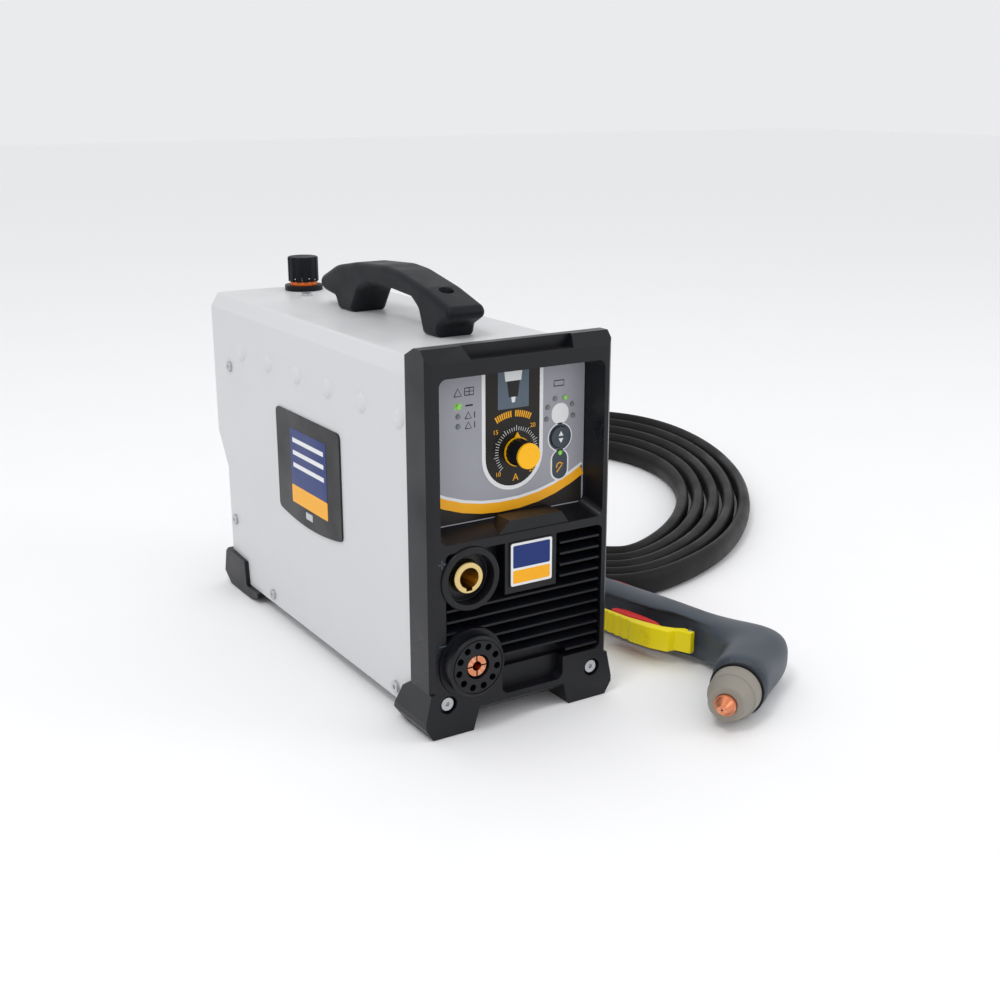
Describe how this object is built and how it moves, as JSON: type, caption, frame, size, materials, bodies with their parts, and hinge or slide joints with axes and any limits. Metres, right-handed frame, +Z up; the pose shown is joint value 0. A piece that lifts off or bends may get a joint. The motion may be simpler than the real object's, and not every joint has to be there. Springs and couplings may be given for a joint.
{
  "type": "plasma cutter",
  "caption": "Portable inverter plasma cutter: sheet-metal case with moulded front, carry handle, regulator knob, two front sockets, and a hand torch on a coiled lead.",
  "frame": {"origin": "centre of the four foot screw holes, in the plane that the feet stand on", "axes": "+Z up, -Y out of the control panel and the front sockets, +X to the operator's right"},
  "size_m": [0.6027, 0.7161, 0.2709],
  "materials": {
    "silver_sheet": "satin light grey powder coat",
    "zinc_sheet": "zinc plated",
    "black_moulding": "satin black",
    "black_rubbery": "soft matt black",
    "overlay": "printed film, satin",
    "badge": "printed film",
    "yellow_plastic": "satin yellow",
    "trigger_yellow": "satin bright yellow",
    "red_plastic": "satin red",
    "orange_plastic": "orange",
    "slate_plastic": "satin slate grey",
    "grey_insulator": "moulded grey-brown insulator",
    "steel": "zinc plated",
    "brass": "turned",
    "copper": "turned copper",
    "aluminium": "extruded",
    "board": "circuit board green",
    "ferrite": "ferrite",
    "winding": "enamelled copper wire",
    "hose": "matt black rubber",
    "air_tube": "blue nylon tube",
    "led": "clear green lens"
  },
  "bodies": {
    "housing": {"air_inlet_fitting": "brass", "air_line": "air_tube", "base_plate": "zinc_sheet", "cable_gland": "black_moulding", "capacitors": "aluminium", "carry_handle": "black_rubbery", "casing_hood": "silver_sheet", "control_overlay": "overlay", "control_pcb": "board", "current_potentiometer": "steel", "fan_frame": "black_moulding", "fan_guard": "steel", "front_badge": "badge", "front_frame": "black_moulding", "front_grille": "black_moulding", "heatsinks": "aluminium", "housing_screws": "steel", "mains_switch_body": "black_moulding", "output_choke": "winding", "panel_leds": "led", "positive_socket_brass": "brass", "positive_socket_housing": "black_rubbery", "power_board": "board", "power_transistors": "black_moulding", "rear_feet": "black_rubbery", "rear_panel": "black_moulding", "regulator_body": "black_moulding", "regulator_lock_ring": "orange_plastic", "side_plaques": "badge", "solenoid_valve": "brass", "torch_socket_contacts": "copper", "torch_socket_housing": "black_moulding", "transformer_core": "ferrite", "transformer_winding": "winding"},
    "torch_set": {"torch_handle_upper": "slate_plastic", "torch_handle_lower": "slate_plastic", "torch_grip_insert": "red_plastic", "trigger_pin": "steel", "trigger_switch": "black_moulding", "torch_head_core": "brass", "torch_collar": "black_moulding", "torch_shield": "grey_insulator", "torch_nozzle": "copper", "torch_strain_relief": "black_rubbery", "torch_lead": "hose", "lead_coil": "hose", "lead_tail": "hose", "plug_body": "black_moulding", "plug_pins": "brass"},
    "torch_trigger": {"torch_trigger": "trigger_yellow"},
    "torch_safety": {"torch_safety": "red_plastic"},
    "plug_ring": {"plug_ring": "black_moulding"},
    "current_knob": {"current_knob": "black_moulding", "knob_markers": "yellow_plastic", "knob_spindle": "steel"},
    "air_test_button": {"air_test_button": "slate_plastic"},
    "regulator_spindle": {"regulator_spindle": "steel"},
    "regulator_knob": {"regulator_knob": "black_moulding"},
    "mains_switch_rocker": {"mains_switch_rocker": "black_moulding"},
    "fan_rotor": {"fan_rotor": "black_moulding"}
  },
  "joints": [
    {"name": "lift_torch_set", "type": "slide", "parent": "housing", "child": "torch_set", "axis": [0, 0, 1], "range_m": [0, 0.3]},
    {"name": "trigger_squeeze", "type": "hinge", "parent": "torch_set", "child": "torch_trigger", "pos_m": [0.1416, -0.16027, 0.0185], "axis": [0, 0, 1], "range_deg": [-7, 0], "stiffness_Nm_per_rad": 0.4, "springref_deg": 2.86},
    {"name": "safety_release", "type": "hinge", "parent": "torch_trigger", "child": "torch_safety", "pos_m": [0.13042, -0.14024, 0.0185], "axis": [0, 0, 1], "range_deg": [-6, 0], "stiffness_Nm_per_rad": 0.1, "springref_deg": 2.86},
    {"name": "plug_ring_turn", "type": "hinge", "parent": "torch_set", "child": "plug_ring", "pos_m": [0.2505, 0.2249, 0.0242], "axis": [-0.5, -0.866, 0], "range_deg": [-90, 0]},
    {"name": "current_knob_turn", "type": "hinge", "parent": "housing", "child": "current_knob", "pos_m": [0.006, -0.155, 0.1705], "axis": [0, -1, 0], "range_deg": [-140, 140]},
    {"name": "air_test_press", "type": "slide", "parent": "housing", "child": "air_test_button", "axis": [0, 1, 0], "range_m": [0, 0.0012], "stiffness_N_per_m": 800, "springref_m": -0.0005},
    {"name": "regulator_lock", "type": "slide", "parent": "housing", "child": "regulator_spindle", "axis": [0, 0, 1], "range_m": [-0.002, 0]},
    {"name": "regulator_turn", "type": "hinge", "parent": "regulator_spindle", "child": "regulator_knob", "pos_m": [0.005, 0.158, 0.249], "axis": [0, 0, 1], "range_deg": [-720, 720]},
    {"name": "mains_switch_rock", "type": "hinge", "parent": "housing", "child": "mains_switch_rocker", "pos_m": [-0.036, 0.176, 0.196], "axis": [1, 0, 0], "range_deg": [-18, 0]},
    {"name": "fan_spin", "type": "hinge", "parent": "housing", "child": "fan_rotor", "pos_m": [0, 0.15, 0.054], "axis": [0, 1, 0], "continuous": true}
  ]
}
